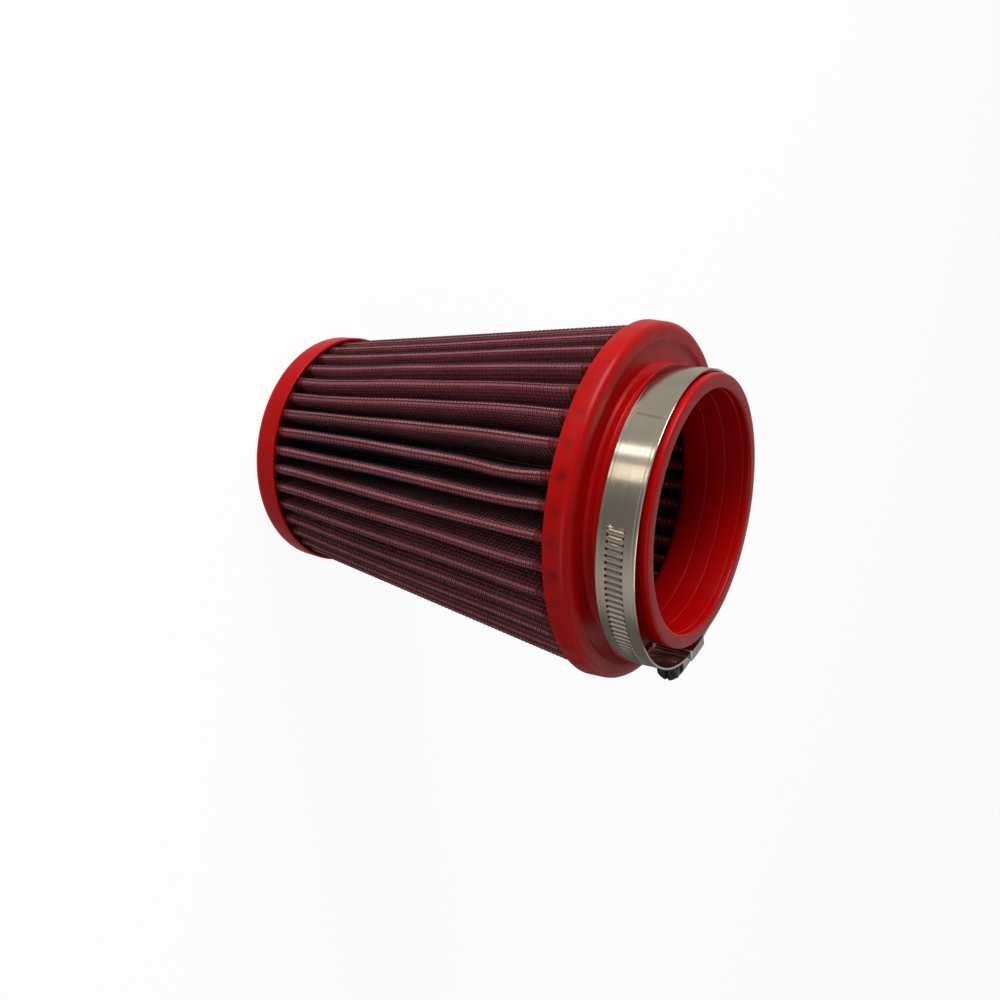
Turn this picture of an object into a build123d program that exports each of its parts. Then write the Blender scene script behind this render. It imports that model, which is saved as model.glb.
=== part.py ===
from build123d import *

import os
from math import acos, asin, atan2, cos, degrees, hypot, pi, radians, sin, sqrt

os.makedirs("parts", exist_ok=True)

# Clamp-on cone air filter, in millimetres. It stands on its closed end cap, with Z up along
# its axis and the origin at the centre of the face that it rests on. The neck is at the top.

# Overall
overall_length = 150.0

# Neck, the moulded collar that slips over an air pipe
bore_radius = 38.0
neck_radius = 42.0
bead_radius = 42.6
bead_height = 3.2
rim_rounding = 0.8
bore_flare = 1.3
bore_flare_height = 2.2
flare_bend = (0.3, 0.45)
inner_wall_rise = 0.65
grip_line_depth = 0.25
grip_line_width = 0.6
grip_line_depths_from_rim = (2.5, 8.85, 15.2)

# Flange, moulded in one with the neck
flange_radius = 56.7
flange_taper = 0.4
flange_height = 7.35
flange_back_rounding = 0.6
flange_front_rounding = 2.2
flange_top = 132.0
recess_radius = 51.2
recess_depth = 1.0
recess_slope = 1.0
collar_radius = 44.6
collar_slope = 1.2
collar_height = 1.9

# Pleated pack: a cotton sheet between two wire screens, folded together
pleat_count = 38
pleat_phase = 92.4
pack_tip_radius_low = 39.9
pack_tip_radius_high = 55.5
pleat_depth = 15.3
gauze_thickness = 1.0
screen_thickness = 0.2
lamination_gap = 0.05
fold_radius = 0.15
tip_facets = 4
fold_facets = 3
pack_bottom = 6.0
pocket_depth = 1.85
pocket_clearance = 0.25

# End cap, a shallow moulded cup that closes the narrow end
cap_radius = 41.5
cap_taper = 0.35
cap_height = 9.35
cap_rounding = 3.0
lip_rounding = 0.4

# Worm-drive clamp, loose on the neck: it hangs to one side and a little out of square
band_width = 12.0
band_thickness = 0.6
band_inner_radius = 46.0
band_top = 146.9
clamp_seat_clearance = 0.5
clamp_tilt = 2.0
layer_gap = 0.3
inner_end_overlap = 7.0
lift_angle = 70.0
tail_angle = 12.5
slot_length = 6.0
slot_width = 0.8
slot_pitch = 2.01
slot_lean = 6.0
slot_shift = -0.5
slots_before_housing = 44
slots_after_housing = 5

# Clamp housing, a pressed shell that wraps the band and carries the screw
housing_angle = 24.0
housing_length = 11.0
housing_wall = 0.8
band_run_clearance = 0.15
band_headroom = 0.4
window_width = 4.6
window_margin = 1.6

# Clamp screw, a worm with a slotted hexagon head
worm_radius = 3.4
worm_clearance = 0.08
worm_lift = 0.65
hex_across_flats = 7.0
hex_height = 3.6
collar_disc_radius = 4.15
collar_disc_thickness = 0.6
end_play = 0.15
pilot_radius = 1.5
pilot_length = 1.2
hex_edge_break = 0.5
driver_slot_width = 1.1
driver_slot_depth = 1.4

# Sizes that follow from those above
flange_bottom = flange_top - flange_height
pack_top = flange_bottom + pocket_depth
half_stack = gauze_thickness / 2 + lamination_gap + screen_thickness
tip_rise = (pack_tip_radius_high - pack_tip_radius_low) / (pack_top - pack_bottom)
mid_fold_radius = half_stack + fold_radius
pleat_step = 2 * pi / pleat_count


def tip_radius_at(height):
    """Radius of the pleats' outer tips at a height."""
    return pack_tip_radius_low + tip_rise * (height - pack_bottom)


def pleat_outline(tip_radius, side):
    """Draws one closed pleated line, side millimetres outside the middle of the folded stack."""
    outer_centre = tip_radius - mid_fold_radius - half_stack
    inner_centre = tip_radius - pleat_depth + mid_fold_radius + half_stack
    outer_fold = mid_fold_radius + side
    inner_fold = mid_fold_radius - side
    run_x = inner_centre * cos(pleat_step / 2) - outer_centre
    run_y = inner_centre * sin(pleat_step / 2)
    lean = atan2(run_y, run_x) - acos(2 * mid_fold_radius / hypot(run_x, run_y))
    bend = pleat_step - 2 * lean
    points = []
    for pleat in range(pleat_count):
        tip_ray = radians(pleat_phase) + pleat * pleat_step
        fold_ray = tip_ray + pleat_step / 2
        tip = Vector(outer_centre * cos(tip_ray), outer_centre * sin(tip_ray))
        fold = Vector(inner_centre * cos(fold_ray), inner_centre * sin(fold_ray))
        for corner in range(tip_facets + 1):
            angle = tip_ray + lean * (2 * corner / tip_facets - 1)
            points.append(tip + Vector(outer_fold * cos(angle), outer_fold * sin(angle)))
        for corner in range(fold_facets + 1):
            angle = tip_ray + lean + bend * corner / fold_facets
            points.append(fold - Vector(inner_fold * cos(angle), inner_fold * sin(angle)))
    Polyline(*points, close=True)


def pleated_sheet(outer_side, inner_side):
    """One folded layer of the pack, between two distances from the middle of the stack."""
    with BuildPart() as sheet:
        for side, mode in ((outer_side, Mode.ADD), (inner_side, Mode.SUBTRACT)):
            for height in (pack_bottom, pack_top):
                with BuildSketch(Plane.XY.offset(height)):
                    with BuildLine():
                        pleat_outline(tip_radius_at(height), side)
                    make_face()
            loft(ruled=True, clean=False, mode=mode)
    return sheet


# Neck and flange, one moulding turned about the axis
pocket_outer_low = tip_radius_at(flange_bottom) + pocket_clearance
pocket_outer_high = tip_radius_at(pack_top) + pocket_clearance
pocket_inner = tip_radius_at(flange_bottom) - pleat_depth - pocket_clearance
rim_face_inner = bore_radius + rim_rounding
rim_face_outer = bead_radius - rim_rounding
wall_end = flange_bottom + inner_wall_rise

with BuildPart() as base_flange:
    with BuildSketch(Plane.XZ):
        with BuildLine():
            Polyline(
                (bore_radius + bore_flare, wall_end),
                (pocket_inner, wall_end),
                (pocket_inner, pack_top),
                (pocket_outer_high, pack_top),
                (pocket_outer_low, flange_bottom),
                (flange_radius - flange_back_rounding, flange_bottom),
            )
            ThreePointArc(
                (flange_radius - flange_back_rounding, flange_bottom),
                (
                    flange_radius - flange_back_rounding * (1 - sqrt(0.5)),
                    flange_bottom + flange_back_rounding * (1 - sqrt(0.5)),
                ),
                (flange_radius, flange_bottom + flange_back_rounding),
            )
            front_edge_radius = flange_radius - flange_taper
            Line(
                (flange_radius, flange_bottom + flange_back_rounding),
                (front_edge_radius, flange_top - flange_front_rounding),
            )
            ThreePointArc(
                (front_edge_radius, flange_top - flange_front_rounding),
                (
                    front_edge_radius - flange_front_rounding * (1 - sqrt(0.5)),
                    flange_top - flange_front_rounding * (1 - sqrt(0.5)),
                ),
                (front_edge_radius - flange_front_rounding, flange_top),
            )
            recess_floor = flange_top - recess_depth
            neck_start = recess_floor + collar_height
            bead_start = overall_length - bead_height
            Polyline(
                (front_edge_radius - flange_front_rounding, flange_top),
                (recess_radius, flange_top),
                (recess_radius - recess_slope, recess_floor),
                (collar_radius, recess_floor),
                (collar_radius - collar_slope / 2, recess_floor + collar_height / 2),
                (neck_radius, neck_start),
                (neck_radius, bead_start),
                (bead_radius, bead_start + rim_rounding),
                (bead_radius, overall_length - rim_rounding),
            )
            ThreePointArc(
                (bead_radius, overall_length - rim_rounding),
                (
                    bead_radius - rim_rounding * (1 - sqrt(0.5)),
                    overall_length - rim_rounding * (1 - sqrt(0.5)),
                ),
                (rim_face_outer, overall_length),
            )
            Line((rim_face_outer, overall_length), (rim_face_inner, overall_length))
            ThreePointArc(
                (rim_face_inner, overall_length),
                (
                    bore_radius + rim_rounding * (1 - sqrt(0.5)),
                    overall_length - rim_rounding * (1 - sqrt(0.5)),
                ),
                (bore_radius, overall_length - rim_rounding),
            )
            bore_line = [(bore_radius, overall_length - rim_rounding)]
            for depth in grip_line_depths_from_rim:
                height = overall_length - depth
                bore_line.append((bore_radius, height + grip_line_width / 2))
                bore_line.append((bore_radius + grip_line_depth, height))
                bore_line.append((bore_radius, height - grip_line_width / 2))
            bore_line.append((bore_radius, wall_end + bore_flare_height))
            bore_line.append(
                (
                    bore_radius + bore_flare * flare_bend[0],
                    wall_end + bore_flare_height * flare_bend[1],
                )
            )
            bore_line.append((bore_radius + bore_flare, wall_end))
            Polyline(*bore_line)
        make_face()
    revolve(axis=Axis.Z)

# End cap, a cup whose lip holds the ends of the pleats
lip_inner = tip_radius_at(cap_height) + pocket_clearance
floor_inner = tip_radius_at(pack_bottom) + pocket_clearance

with BuildPart() as end_cap:
    with BuildSketch(Plane.XZ):
        with BuildLine():
            cap_side = cap_radius - cap_taper
            Line((0, 0), (cap_side - cap_rounding, 0))
            ThreePointArc(
                (cap_side - cap_rounding, 0),
                (cap_side - cap_rounding * (1 - sqrt(0.5)), cap_rounding * (1 - sqrt(0.5))),
                (cap_side, cap_rounding),
            )
            Polyline(
                (cap_side, cap_rounding),
                (cap_radius, cap_height - lip_rounding),
                (cap_radius - lip_rounding, cap_height),
                (lip_inner, cap_height),
                (floor_inner, pack_bottom),
                (0, pack_bottom),
                (0, 0),
            )
        make_face()
    revolve(axis=Axis.Z)

# Pleated layers, from the outside in
outer_wire_screen = pleated_sheet(half_stack, half_stack - screen_thickness)
cotton_gauze = pleated_sheet(gauze_thickness / 2, -gauze_thickness / 2)
inner_wire_screen = pleated_sheet(screen_thickness - half_stack, -half_stack)

# Clamp band: one strip that starts under the housing, goes round and comes out over its own start
band_bottom = band_top - band_width
band_middle = (band_top + band_bottom) / 2
clamp_x = band_inner_radius - bead_radius - clamp_seat_clearance
clamp_centre = (clamp_x, 0)
layer_rise = band_thickness + layer_gap
lift_radius_gain = layer_rise / (1 - cos(radians(lift_angle)))
lift_start = housing_angle + 360 - lift_angle
lift_centre = (
    clamp_x - lift_radius_gain * cos(radians(lift_start)),
    -lift_radius_gain * sin(radians(lift_start)),
)
band_middle_radius = band_inner_radius + band_thickness / 2
band_outer_radius = band_inner_radius + band_thickness
outer_layer_radius = band_outer_radius + layer_rise
inner_end_angle = housing_angle - inner_end_overlap
tail_end_angle = housing_angle + 360 + tail_angle

slot_places = []
for slot in range(-slots_before_housing, slots_after_housing + 1):
    slot_angle = housing_angle + 360 + degrees(slot * slot_pitch / band_middle_radius)
    if slot_angle < lift_start:
        hoop_centre, hoop_radius = clamp_centre, band_middle_radius
    else:
        hoop_centre, hoop_radius = lift_centre, band_middle_radius + lift_radius_gain
    outward = Vector(cos(radians(slot_angle)), sin(radians(slot_angle)))
    middle = Vector(hoop_centre[0], hoop_centre[1], band_middle + slot_shift) + outward * hoop_radius
    slot_places.append(Plane(origin=middle, x_dir=(0, 0, 1), z_dir=outward))

with BuildPart() as clamp_band:
    with BuildSketch(Plane.XY.offset(band_bottom)):
        with BuildLine():
            inner_hoop = CenterArc(
                clamp_centre, band_inner_radius, inner_end_angle, lift_start - inner_end_angle
            )
            inner_lift = CenterArc(
                lift_centre,
                band_inner_radius + lift_radius_gain,
                lift_start,
                tail_end_angle - lift_start,
            )
            outer_hoop = CenterArc(
                clamp_centre, band_outer_radius, inner_end_angle, lift_start - inner_end_angle
            )
            outer_lift = CenterArc(
                lift_centre,
                band_outer_radius + lift_radius_gain,
                lift_start,
                tail_end_angle - lift_start,
            )
            Line(inner_hoop @ 0, outer_hoop @ 0)
            Line(inner_lift @ 1, outer_lift @ 1)
        make_face()
    extrude(amount=band_width)
    with Locations(*slot_places):
        Box(
            slot_length,
            slot_width,
            band_thickness + layer_gap,
            rotation=(0, 0, -slot_lean),
            mode=Mode.SUBTRACT,
        )

# Clamp housing: a wrap round both layers of the band, with a barrel for the screw outside it
channel_inner = band_inner_radius - band_run_clearance
channel_outer = outer_layer_radius + band_headroom
channel_depth = band_width + 2 * band_run_clearance
screw_radius_from_centre = outer_layer_radius + worm_lift + worm_radius
screw_bore_radius = worm_radius + worm_clearance
barrel_radius = screw_bore_radius + housing_wall
wrap_half_angle = degrees(asin(housing_length / 2 / (channel_outer + housing_wall)))
outward = Vector(cos(radians(housing_angle)), sin(radians(housing_angle)))
along_screw = Vector(-sin(radians(housing_angle)), cos(radians(housing_angle)))
screw_middle = Vector(clamp_x, 0, band_middle) + outward * screw_radius_from_centre
screw_plane = Plane(origin=screw_middle, x_dir=outward, z_dir=along_screw)


def hoop_sector(inner_radius, outer_radius, half_angle):
    """Draws a sector of a ring about the clamp's centre, at the housing."""
    start = housing_angle - half_angle
    inner_arc = CenterArc(clamp_centre, inner_radius, start, 2 * half_angle)
    outer_arc = CenterArc(clamp_centre, outer_radius, start, 2 * half_angle)
    Line(inner_arc @ 0, outer_arc @ 0)
    Line(inner_arc @ 1, outer_arc @ 1)


with BuildPart() as clamp_housing:
    with BuildSketch(Plane.XY.offset(band_bottom - band_run_clearance - housing_wall)):
        with BuildLine():
            hoop_sector(channel_inner - housing_wall, channel_outer + housing_wall, wrap_half_angle)
        make_face()
    extrude(amount=channel_depth + 2 * housing_wall)
    with BuildSketch(screw_plane.offset(-housing_length / 2)):
        Circle(barrel_radius)
        web_height = screw_radius_from_centre - channel_outer
        with Locations((-web_height / 2, 0)):
            Rectangle(web_height, 2 * barrel_radius)
    extrude(amount=housing_length)
    with BuildSketch(Plane.XY.offset(band_bottom - band_run_clearance)):
        with BuildLine():
            hoop_sector(channel_inner, channel_outer, 2 * wrap_half_angle)
        make_face()
    extrude(amount=channel_depth, mode=Mode.SUBTRACT)
    with BuildSketch(screw_plane.offset(-housing_length / 2)):
        Circle(screw_bore_radius)
    extrude(amount=housing_length - housing_wall, mode=Mode.SUBTRACT)
    with BuildSketch(screw_plane):
        Circle(pilot_radius + worm_clearance)
    extrude(amount=housing_length, mode=Mode.SUBTRACT)
    with BuildSketch(screw_plane.offset(window_margin - housing_length / 2)):
        with Locations((-screw_bore_radius / 2, 0)):
            Rectangle(screw_bore_radius + 2 * housing_wall, window_width)
    extrude(amount=housing_length - 2 * window_margin, mode=Mode.SUBTRACT)

# Clamp screw: head and washer face outside the barrel, worm inside it, pilot through its far wall
washer_start = -housing_length / 2 - end_play
head_start = washer_start - collar_disc_thickness
worm_end = housing_length / 2 - housing_wall - end_play

with BuildPart() as clamp_screw:
    with BuildSketch(screw_plane.offset(head_start)):
        RegularPolygon(hex_across_flats / 2, 6, major_radius=False)
    extrude(amount=-hex_height)
    head_end = clamp_screw.faces().sort_by(Axis(screw_middle, along_screw))[0]
    chamfer(head_end.edges(), hex_edge_break)
    with BuildSketch(screw_plane.offset(head_start)):
        Circle(collar_disc_radius)
    extrude(amount=collar_disc_thickness)
    with BuildSketch(screw_plane.offset(washer_start)):
        Circle(worm_radius)
    extrude(amount=worm_end - washer_start)
    with BuildSketch(screw_plane.offset(worm_end)):
        Circle(pilot_radius)
    extrude(amount=pilot_length + housing_wall + end_play)
    with BuildSketch(screw_plane.offset(head_start - hex_height)):
        Rectangle(2 * hex_across_flats, driver_slot_width)
    extrude(amount=driver_slot_depth, mode=Mode.SUBTRACT)

# The three pieces of the clamp lean together about the middle of the hoop
tilt_axis = Axis((clamp_x, 0, band_middle), (1, 0, 0))

for name, piece, lean_angle in (
    ("base_flange", base_flange, 0),
    ("end_cap", end_cap, 0),
    ("outer_wire_screen", outer_wire_screen, 0),
    ("cotton_gauze", cotton_gauze, 0),
    ("inner_wire_screen", inner_wire_screen, 0),
    ("clamp_band", clamp_band, -clamp_tilt),
    ("clamp_housing", clamp_housing, -clamp_tilt),
    ("clamp_screw", clamp_screw, -clamp_tilt),
):
    solid = piece.part.rotate(tilt_axis, lean_angle)
    solid.label = name
    export_step(solid, f"parts/{name}.step")
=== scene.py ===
"""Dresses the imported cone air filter: moulded ends, woven wire over cotton, a pressed hose clamp.

The sizes of the pieces are in millimetres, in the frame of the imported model: the filter stands on its
closed cap with its neck up. Their meshes are written in metres, in place. The sizes in the finishes,
the floor and the lamps are in metres.
"""

import logging
from dataclasses import dataclass, replace
from enum import Enum
from math import acos, atan2, cos, degrees, hypot, pi, radians, sin, tan
from typing import Callable, Sequence

import bmesh
import bpy
from mathutils import Matrix, Vector


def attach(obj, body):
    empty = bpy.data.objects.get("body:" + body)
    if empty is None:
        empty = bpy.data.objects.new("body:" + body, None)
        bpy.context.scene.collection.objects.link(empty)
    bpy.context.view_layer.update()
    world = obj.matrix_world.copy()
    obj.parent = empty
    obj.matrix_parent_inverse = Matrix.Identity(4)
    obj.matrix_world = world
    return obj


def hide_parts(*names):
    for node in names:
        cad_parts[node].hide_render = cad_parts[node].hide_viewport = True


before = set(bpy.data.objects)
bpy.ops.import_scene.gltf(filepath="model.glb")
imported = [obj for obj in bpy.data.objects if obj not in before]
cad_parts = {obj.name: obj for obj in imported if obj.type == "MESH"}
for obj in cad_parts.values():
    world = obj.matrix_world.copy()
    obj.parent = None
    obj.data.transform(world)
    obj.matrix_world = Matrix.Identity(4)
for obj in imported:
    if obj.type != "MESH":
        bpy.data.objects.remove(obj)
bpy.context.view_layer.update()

log = logging.getLogger("cone_filter")
MM = 0.001
TINY = 1e-6
Point2 = tuple[float, float]
Point3 = tuple[float, float, float]
Colour = tuple[float, float, float]
Socket = bpy.types.NodeSocket


class Body(Enum):
    """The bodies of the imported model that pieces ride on."""

    FILTER = "filter"
    CLAMP = "clamp"
    SCREW = "screw"


class Slot(Enum):
    """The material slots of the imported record."""

    MOULDED = "moulded_red"
    COTTON = "cotton"
    WIRE = "wire"
    STRIP = "stainless"
    SCREW = "screw_steel"


Piece = tuple[bpy.types.Object, Body, Slot, tuple[str, ...]]


def linear(red: int, green: int, blue: int) -> Colour:
    """Turns a screen colour into the linear colour that shaders take, by the standard curve.

    Args:
        red: The red channel, 0 to 255.
        green: The green channel, 0 to 255.
        blue: The blue channel, 0 to 255.

    Returns:
        The linear colour.
    """
    values = []
    for channel in (red, green, blue):
        share = channel / 255
        values.append(share / 12.92 if share <= 0.04045 else ((share + 0.055) / 1.055) ** 2.4)
    return (values[0], values[1], values[2])


# Node trees


class Tree:
    """Adds and links nodes in one shader or geometry tree."""

    def __init__(self, tree: bpy.types.NodeTree) -> None:
        """Keeps the tree that the nodes go into."""
        self.tree = tree

    def link(self, source: Socket, target: Socket) -> None:
        """Links an output to an input, in place of what fed it."""
        self.tree.links.new(source, target)

    def add(self, kind: str, inputs: dict | None = None, **settings: object) -> bpy.types.Node:
        """Adds one node.

        Args:
            kind: The node's type name.
            inputs: Values or sockets, by the input's name or number.
            settings: Properties of the node, set before its inputs.

        Returns:
            The new node.
        """
        node = self.tree.nodes.new(kind)
        for name, value in settings.items():
            setattr(node, name, value)
        for key, value in (inputs or {}).items():
            if isinstance(value, Socket):
                self.link(value, node.inputs[key])
            else:
                node.inputs[key].default_value = value
        return node

    def place(self) -> Socket:
        """Returns the socket of the object's own coordinates."""
        return self.add("ShaderNodeTexCoord").outputs["Object"]

    def parts(self, vector: Socket) -> bpy.types.NodeOutputs:
        """Splits a vector and returns the sockets of its three parts."""
        return self.add("ShaderNodeSeparateXYZ", {0: vector}).outputs

    def radius(self, across: Socket, along: Socket) -> Socket:
        """Returns the socket of a place's distance from the upright axis."""
        flat = self.add("ShaderNodeCombineXYZ", {0: across, 1: along}).outputs[0]
        return self.add("ShaderNodeVectorMath", {0: flat}, operation="LENGTH").outputs["Value"]

    def math(
        self, operation: str, first: object, second: object = 0.0, clamp: bool = False
    ) -> Socket:
        """Adds a math node.

        Args:
            operation: The node's operation.
            first: The first number or socket.
            second: The second number or socket.
            clamp: Whether the result is held between 0 and 1.

        Returns:
            The result's socket.
        """
        inputs = {0: first, 1: second}
        return self.add("ShaderNodeMath", inputs, operation=operation, use_clamp=clamp).outputs[0]

    def ramp(
        self, value: Socket, low: object, high: object, start: float = 0.0, end: float = 1.0
    ) -> Socket:
        """Maps a value smoothly from one range to another.

        Args:
            value: The value's socket.
            low: The value, or socket of it, at which the result is start.
            high: The value, or socket of it, at which the result is end.
            start: The first end of the result.
            end: The other end of the result.

        Returns:
            The result's socket.
        """
        node = self.add(
            "ShaderNodeMapRange",
            {"Value": value, "From Min": low, "From Max": high, "To Min": start, "To Max": end},
            interpolation_type="SMOOTHSTEP",
        )
        return node.outputs["Result"]

    def noise(
        self, place: Socket, scale: object = 1.0, detail: float = 2.0, stretch: Point3 | None = None
    ) -> Socket:
        """Adds a noise texture.

        Args:
            place: Where the texture is read.
            scale: How fine it is, a number or a socket.
            detail: How many finer layers it has.
            stretch: How fine it is along each axis, where that differs.

        Returns:
            The socket of its value.
        """
        if stretch:
            place = self.add("ShaderNodeMapping", {"Vector": place, "Scale": stretch}).outputs[0]
        inputs = {"Vector": place, "Scale": scale, "Detail": detail}
        return self.add("ShaderNodeTexNoise", inputs).outputs["Fac"]

    def blend(self, factor: Socket, first: object, second: object) -> Socket:
        """Mixes two colours.

        Args:
            factor: The socket of the second colour's share.
            first: The first colour or its socket.
            second: The second colour or its socket.

        Returns:
            The mixed colour's socket.
        """
        inputs = {0: factor}
        for number, value in ((6, first), (7, second)):
            inputs[number] = value if isinstance(value, Socket) else (*value, 1.0)
        return self.add("ShaderNodeMix", inputs, data_type="RGBA").outputs[2]

    def bump(self, shader: bpy.types.Node, height: Socket, depth: float) -> None:
        """Adds a bump to a shader, over the one that it has already.

        Args:
            shader: The Principled shader.
            height: The socket of the surface's height, 0 to 1.
            depth: What a height of 1 stands for, in metres.
        """
        normal = shader.inputs["Normal"]
        node = self.add("ShaderNodeBump", {"Height": height, "Distance": depth})
        if normal.links:
            self.link(normal.links[0].from_socket, node.inputs["Normal"])
        self.link(node.outputs[0], normal)

    def end(self, geometry: Socket, finish: Socket) -> None:
        """Ends a geometry tree with real meshes that have their finish.

        Args:
            geometry: The socket of what the tree made.
            finish: The finish's socket.
        """
        real = self.add("GeometryNodeRealizeInstances", {0: geometry})
        inputs = {"Geometry": real.outputs[0], "Material": finish}
        dressed = self.add("GeometryNodeSetMaterial", inputs)
        self.add("NodeGroupOutput", {"Geometry": dressed.outputs[0]})


def new_group(name: str, kind: str, ins: dict, outs: dict) -> tuple[bpy.types.NodeTree, Tree]:
    """Makes an empty node group with named sockets.

    Args:
        name: The group's name.
        kind: ShaderNodeTree or GeometryNodeTree.
        ins: Input names to (socket type, default value or None).
        outs: Output names to socket types.

    Returns:
        The group and the tree helper for it.
    """
    group = bpy.data.node_groups.new(name, kind)
    for label, (socket_type, default) in ins.items():
        socket = group.interface.new_socket(label, in_out="INPUT", socket_type=socket_type)
        if default is not None:
            socket.default_value = default
    for label, socket_type in outs.items():
        group.interface.new_socket(label, in_out="OUTPUT", socket_type=socket_type)
    return group, Tree(group)


def grain_group() -> bpy.types.NodeTree:
    """Fine surface grain, shared by the finishes: a small uneven height and a coarse cloud mask.

    Returns:
        The shader group, built once.
    """
    if "Surface grain" in bpy.data.node_groups:
        return bpy.data.node_groups["Surface grain"]
    group, tree = new_group(
        "Surface grain",
        "ShaderNodeTree",
        {
            "Vector": ("NodeSocketVector", None),
            "Grain Scale": ("NodeSocketFloat", 900.0),
            "Cloud Scale": ("NodeSocketFloat", 60.0),
            "Contrast": ("NodeSocketFloat", 0.5),
        },
        {"Height": "NodeSocketFloat", "Clouds": "NodeSocketFloat"},
    )
    entry = tree.add("NodeGroupInput").outputs
    fine = tree.noise(entry["Vector"], entry["Grain Scale"], detail=3.0)
    cloud = tree.noise(entry["Vector"], entry["Cloud Scale"], detail=5.0)
    half = tree.math("MULTIPLY", entry["Contrast"], 0.5)
    low = tree.math("SUBTRACT", 0.5, half)
    high = tree.math("ADD", 0.5, half)
    tree.add("NodeGroupOutput", {"Height": fine, "Clouds": tree.ramp(cloud, low, high)})
    return group


def bleed_group() -> bpy.types.NodeTree:
    """Where the moulding soaked into the pack: a ragged mask at both ends, by height.

    Returns:
        The shader group, built once.
    """
    if "Moulding bleed" in bpy.data.node_groups:
        return bpy.data.node_groups["Moulding bleed"]
    group, tree = new_group(
        "Moulding bleed",
        "ShaderNodeTree",
        {
            "Vector": ("NodeSocketVector", None),
            "Upper Edge": ("NodeSocketFloat", 0.1246),
            "Lower Edge": ("NodeSocketFloat", 0.0094),
            "Reach": ("NodeSocketFloat", 0.0042),
            "Lower Share": ("NodeSocketFloat", 0.5),
            "Raggedness": ("NodeSocketFloat", 1.1),
            "Ragged Scale": ("NodeSocketFloat", 420.0),
        },
        {"Mask": "NodeSocketFloat"},
    )
    fade_start, fade_end = -0.0002, 0.0004
    entry = tree.add("NodeGroupInput").outputs
    height = tree.parts(entry["Vector"])["Z"]
    ragged = tree.noise(entry["Vector"], entry["Ragged Scale"])
    wander = tree.math("MULTIPLY", tree.math("SUBTRACT", ragged, 0.5), entry["Raggedness"])
    reach = tree.math("MULTIPLY", entry["Reach"], tree.math("ADD", wander, 1.0))
    upper = tree.math("SUBTRACT", tree.math("ADD", height, reach), entry["Upper Edge"])
    lower_reach = tree.math("MULTIPLY", reach, entry["Lower Share"])
    lower = tree.math("SUBTRACT", tree.math("ADD", entry["Lower Edge"], lower_reach), height)
    mask = tree.ramp(tree.math("MAXIMUM", upper, lower), fade_start, fade_end)
    tree.add("NodeGroupOutput", {"Mask": mask})
    return group


# Finishes


@dataclass(frozen=True)
class Finish:
    """A plain finish: its name, its two colours, how rough it is and how deep its grain is."""

    name: str
    colour: Colour
    shade: Colour
    roughness: float
    grain_depth: float = 0.00002
    grain_scale: float = 900.0
    smoothest: float = 0.9
    roughest: float = 1.15

    def start(self) -> tuple[bpy.types.Material, Tree, bpy.types.Node, bpy.types.Node]:
        """Makes the material with its shader and its grain group.

        Returns:
            The material, its tree, its Principled shader and its grain node.
        """
        material = bpy.data.materials.new(self.name)
        material.use_nodes = True
        tree = Tree(material.node_tree)
        shader = material.node_tree.nodes["Principled BSDF"]
        shader.inputs["Roughness"].default_value = self.roughness
        inputs = {"Vector": tree.place(), "Grain Scale": self.grain_scale}
        grain = tree.add("ShaderNodeGroup", inputs, node_tree=grain_group())
        return material, tree, shader, grain

    def clouded(self) -> tuple[bpy.types.Material, Tree, bpy.types.Node]:
        """Builds the clouded colour, the uneven roughness and a fine bump.

        Returns:
            The material, its tree and its Principled shader.
        """
        material, tree, shader, grain = self.start()
        clouds = grain.outputs["Clouds"]
        tree.link(tree.blend(clouds, self.shade, self.colour), shader.inputs["Base Color"])
        low, high = self.roughness * self.smoothest, self.roughness * self.roughest
        tree.link(tree.ramp(clouds, 0, 1, high, low), shader.inputs["Roughness"])
        tree.bump(shader, grain.outputs["Height"], self.grain_depth)
        return material, tree, shader

    def material(self) -> bpy.types.Material:
        """Builds the plain finish's material."""
        return self.clouded()[0]


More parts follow.
